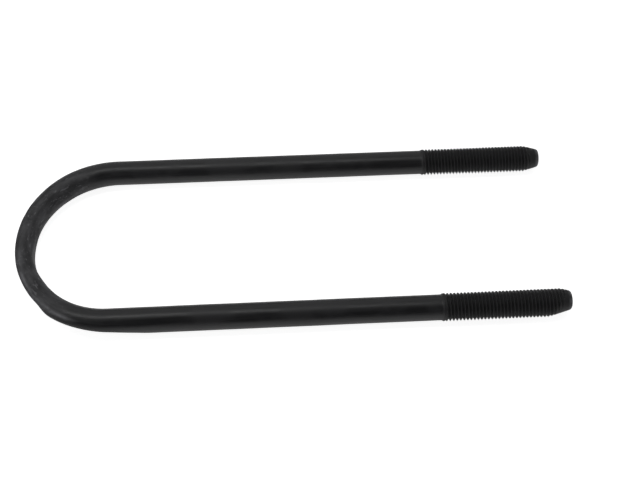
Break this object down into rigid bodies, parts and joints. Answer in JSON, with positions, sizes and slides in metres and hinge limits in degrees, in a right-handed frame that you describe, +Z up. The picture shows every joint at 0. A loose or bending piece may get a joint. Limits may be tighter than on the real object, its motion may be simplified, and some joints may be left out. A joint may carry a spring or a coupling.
{
  "type": "round-bend u-bolt",
  "caption": "Long round-bend U-bolt in black steel: one bar bent to a half circle, with rolled threads and tapered tips on both leg ends.",
  "frame": {"origin": "middle of the footprint, on the surface that the bolt lies flat on", "axes": "+X along the legs, away from the crown; +Y across, towards one leg; +Z up, square to the plane of the U"},
  "size_m": [0.32, 0.1206, 0.0159],
  "materials": {
    "black_steel": "satin"
  },
  "bodies": {
    "root": {"u_bolt": "black_steel"}
  },
  "joints": []
}
